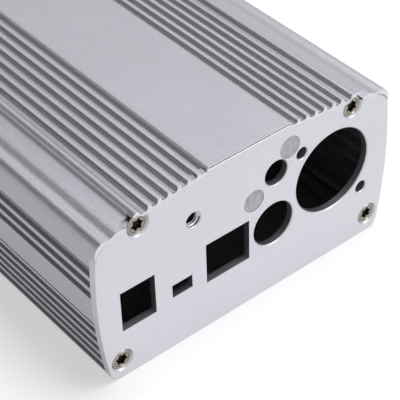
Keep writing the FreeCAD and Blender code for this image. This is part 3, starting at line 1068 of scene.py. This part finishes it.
@dataclass
class LightPipe:
    """Frosted light pipe with a ground face, a rounded rim and a narrower tail.

    Attributes:
        node: the node that it stands for.
        x: place of its axis along X.
        z: place of its axis along Z.
        radius: radius of the window.
        gap: clearance in the plate's hole.
        thickness: thickness of the window.
        tail_radius: radius of the tail.
        length: length over all.
        bevel: bevel of the tail's end.
    """

    node: str
    x: float
    z: float
    radius: float = 3.1 * MM
    gap: float = 0.05 * MM
    thickness: float = 2.0 * MM
    tail_radius: float = 2.2 * MM
    length: float = 7.5 * MM
    bevel: float = 0.2 * MM

    def build(self, finish: bpy.types.Material) -> str:
        """Build the light pipe in the place of its node.

        Args:
            finish: the material of the plastic.

        Returns:
            The name of the piece.
        """
        rim, tail = self.radius - self.gap, self.tail_radius
        profile: Profile = [
            (0.0, -0.05 * MM),
            (tail - 0.05 * MM, -0.05 * MM),
            (tail + 0.1 * MM, -0.12 * MM),
            (tail + 0.25 * MM, -0.02 * MM),
            (rim - 0.2 * MM, -0.01 * MM),
            (rim - 0.05 * MM, -0.06 * MM),
            (rim, -0.2 * MM),
            (rim, -self.thickness),
            (tail, -self.thickness),
            (tail, self.bevel - self.length),
            (tail - self.bevel, -self.length),
            (0.0, -self.length),
        ]
        bm = bmesh.new()
        verts = revolve(bm, profile, 64)
        spot = Matrix.Translation((self.x, FRONT, self.z))
        bmesh.ops.transform(bm, matrix=spot @ FORWARD, verts=verts)
        piece = finish_piece(bm, f"{self.node}_frosted", finish)
        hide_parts(self.node)
        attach(piece, BODY)
        return piece.name


@dataclass
class EarthThread:
    """Helical ridge that makes the plain earth hole a threaded one.

    Attributes:
        x: place of the hole's axis along X.
        z: place of the hole's axis along Z.
        hole_radius: radius of the drilled hole.
        crest_radius: radius between the thread's crests.
        pitch: pitch of the thread.
        start: depth of the first ridge.
        turns: number of turns.
        steps: steps of one turn.
    """

    x: float
    z: float
    hole_radius: float = 2.1 * MM
    crest_radius: float = 1.74 * MM
    pitch: float = 0.6 * MM
    start: float = 0.5 * MM
    turns: float = 2.0
    steps: int = 48

    def build(self, finish: bpy.types.Material) -> str:
        """Build the thread in its hole.

        Args:
            finish: the material of the plate.

        Returns:
            The name of the piece.
        """
        root = self.hole_radius + 0.03 * MM
        half = 0.46 * self.pitch
        section = [
            (root, half),
            (self.crest_radius, 0.1 * half),
            (self.crest_radius, -0.1 * half),
            (root, -half),
        ]
        bm = bmesh.new()
        ring = [bm.verts.new((radius, 0.0, height)) for radius, height in section]
        bm.faces.new(ring)
        count = int(self.steps * self.turns)
        geom = bm.faces[:] + bm.edges[:] + bm.verts[:]
        spin(bm, geom, count, self.turns, self.pitch / self.steps)
        spot = Matrix.Translation((self.x, FRONT + self.start, self.z))
        bmesh.ops.transform(bm, matrix=spot @ FORWARD, verts=bm.verts[:])
        piece = finish_piece(bm, "earth_hole_thread", finish)
        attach(piece, BODY)
        return piece.name


def towards(place: Point, aim: Point, axis: str) -> Euler:
    """Rotation that turns an axis from a place towards a point."""
    return (Vector(aim) - Vector(place)).to_track_quat(axis, "Y").to_euler()


@dataclass(frozen=True)
class Lamp:
    """A soft box.

    Attributes:
        name: name of the lamp.
        place: where it stands.
        aim: the point that it faces.
        size: its two sides.
        power: its power.
    """

    name: str
    place: Point
    aim: Point
    size: tuple[float, float]
    power: float

    def hang(self) -> None:
        """Make the lamp."""
        light = bpy.data.lights.new(self.name, "AREA")
        light.shape = "RECTANGLE"
        light.size, light.size_y = self.size
        light.energy = self.power
        lamp = bpy.data.objects.new(self.name, light)
        lamp.location = self.place
        lamp.rotation_euler = towards(self.place, self.aim, "-Z")
        bpy.context.scene.collection.objects.link(lamp)


@dataclass
class Studio:
    """White floor and surroundings, soft boxes, a grey card and the camera.

    Attributes:
        floor_size: side of the floor.
        floor_glow: share of plain white in what the camera sees of the floor.
        eye: place of the camera.
        heading: direction of view from +Y towards +X, in degrees.
        dip: angle of view below the horizon, in degrees.
        roll: turn of the camera about its axis, in degrees.
        lens: focal length, in millimetres.
        sensor: width of the camera's sensor, in millimetres.
        fill: level of the surroundings as a light.
        lamps: the soft boxes.
        card_size: side of the grey card.
        card_place: where the card stands.
        card_aim: the point that it faces.
        paper_cell: size of the faint clouds on the floor and on the card.
    """

    floor_size: float = 6.0
    floor_glow: float = 0.5
    eye: Point = (-173.73 * MM, -277.27 * MM, 262.89 * MM)
    heading: float = 38.081
    dip: float = 40.719
    roll: float = -1.981
    lens: float = 133.08
    sensor: float = 36.0
    fill: float = 0.33
    lamps: tuple[Lamp, ...] = (
        Lamp("overhead_box", (0.26, -0.1, 1.0), (0.0, 0.0, 0.0), (0.5, 0.5), 9.2),
        Lamp("front_box", (0.6, -0.9, 0.5), (0.0, -0.07, 0.03), (0.6, 0.6), 3.0),
    )
    card_size: float = 0.8
    card_place: Point = (-0.42, 0.44, 0.66)
    card_aim: Point = (0.0, 0.0, 0.03)
    paper_cell: float = 40 * MM

    def build(self) -> None:
        """Set the floor, the surroundings, the lamps and the camera."""
        self._floor()
        self._surroundings()
        for lamp in self.lamps:
            lamp.hang()
        self._card()
        self._camera()

    @staticmethod
    def _seen_white(graph: Graph) -> Wire:
        """Mask of the rays that see the background: camera, gloss and transmission."""
        seen = graph.node("ShaderNodeLightPath", output="Is Camera Ray")
        for kind in ("Is Glossy Ray", "Is Transmission Ray"):
            seen = graph.math("MAXIMUM", seen, graph.node("ShaderNodeLightPath", output=kind))
        return seen

    def _matt(self, graph: Graph, low: Colour, high: Colour) -> Wire:
        """Matt shader with faint clouds, from a darker to a lighter colour."""
        tone = graph.noise(self.paper_cell, 3.0)
        return graph.node("ShaderNodeBsdfDiffuse", {}, {"Color": graph.blend(tone, low, high)})

    def _floor(self) -> None:
        """Plain pale floor that fades to white but keeps the shadow."""
        bm = bmesh.new()
        bmesh.ops.create_grid(bm, x_segments=8, y_segments=8, size=self.floor_size / 2)
        material, graph = new_material("pale_floor")
        matt = self._matt(graph, (0.84, 0.84, 0.845), (0.86, 0.86, 0.865))
        glow = graph.node("ShaderNodeEmission", {}, {"Color": WHITE, "Strength": 1.0})
        share = self._seen_white(graph) * self.floor_glow
        graph.output(graph.node("ShaderNodeMixShader", {}, {0: share, 1: matt, 2: glow}))
        finish_piece(bm, "studio_floor", material)

    def _card(self) -> None:
        """Grey card at the left rear that darkens what the coves and grooves mirror."""
        bm = bmesh.new()
        bmesh.ops.create_grid(bm, x_segments=2, y_segments=2, size=self.card_size / 2)
        material, graph = new_material("grey_card_paper")
        graph.output(self._matt(graph, (0.1, 0.1, 0.1), (0.12, 0.12, 0.12)))
        card = finish_piece(bm, "grey_card", material)
        card.location = self.card_place
        card.rotation_euler = towards(self.card_place, self.card_aim, "Z")
        card.visible_camera = False

    def _surroundings(self) -> None:
        """Surroundings that look white and light the object at their own level."""
        world = bpy.data.worlds.new("white_surroundings")
        world.use_nodes = True
        bpy.context.scene.world = world
        graph = Graph(world.node_tree)
        levels = [
            graph.node("ShaderNodeBackground", {}, {"Color": WHITE, "Strength": level})
            for level in (self.fill, 1.0)
        ]
        sockets = {0: self._seen_white(graph), 1: levels[0], 2: levels[1]}
        graph.output(graph.node("ShaderNodeMixShader", {}, sockets), "ShaderNodeOutputWorld")

    def _camera(self) -> None:
        """Camera at the photograph's viewing angle."""
        heading, dip = math.radians(self.heading), math.radians(self.dip)
        level = math.cos(dip)
        view = Vector((math.sin(heading) * level, math.cos(heading) * level, -math.sin(dip)))
        upright = view.to_track_quat("-Z", "Y")
        data = bpy.data.cameras.new("product_camera")
        data.sensor_width = self.sensor
        data.lens = self.lens
        data.clip_start = 0.01
        camera = bpy.data.objects.new("product_camera", data)
        camera.location = self.eye
        turn = Quaternion((0.0, 0.0, 1.0), math.radians(self.roll))
        camera.rotation_euler = (upright @ turn).to_euler()
        bpy.context.scene.collection.objects.link(camera)
        bpy.context.scene.camera = camera


def screw_places() -> tuple[Spot, ...]:
    """X and Z of the screws' axes, read from the box of their node."""
    low, high = (Vector(corner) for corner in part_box("front_screws"))
    radius = CountersunkScrew.head_radius
    lower, upper = LOWER_SCREW * MM, UPPER_SCREW * MM
    LOG.info("screw heads from X %.2f to %.2f mm", low.x / MM, high.x / MM)
    return (
        (-upper, high.z - radius),
        (upper, high.z - radius),
        (-lower, low.z + radius),
        (lower, low.z + radius),
    )


def main() -> None:
    """Build every sub-assembly in order and report each piece."""
    logging.basicConfig(level=logging.INFO, format="%(name)s: %(message)s")
    bpy.context.scene.view_settings.view_transform = "Standard"
    aluminium, plate = BODY_FINISH.material(), PANEL_FINISH.material()
    steel, plastic = SCREW_FINISH.material(), PIPE_FINISH.material()
    for name in Shell().dress(aluminium, plate):
        LOG.info("dressed %s", name)
    LOG.info("built %s", Extrusion().build(aluminium))
    places = screw_places()
    for end in End:
        LOG.info("built %s", ScrewSet(end, places).build(steel))
    for pipe in (
        LightPipe("upper_light_pipe", 12.5 * MM, HEIGHT - 7.9 * MM),
        LightPipe("lower_light_pipe", 1.15 * MM, HEIGHT - 18.4 * MM),
    ):
        LOG.info("built %s", pipe.build(plastic))
    LOG.info("built %s", EarthThread(-17.3 * MM, HEIGHT - 13.75 * MM).build(plate))
    Studio().build()


if __name__ == "__main__":
    main()
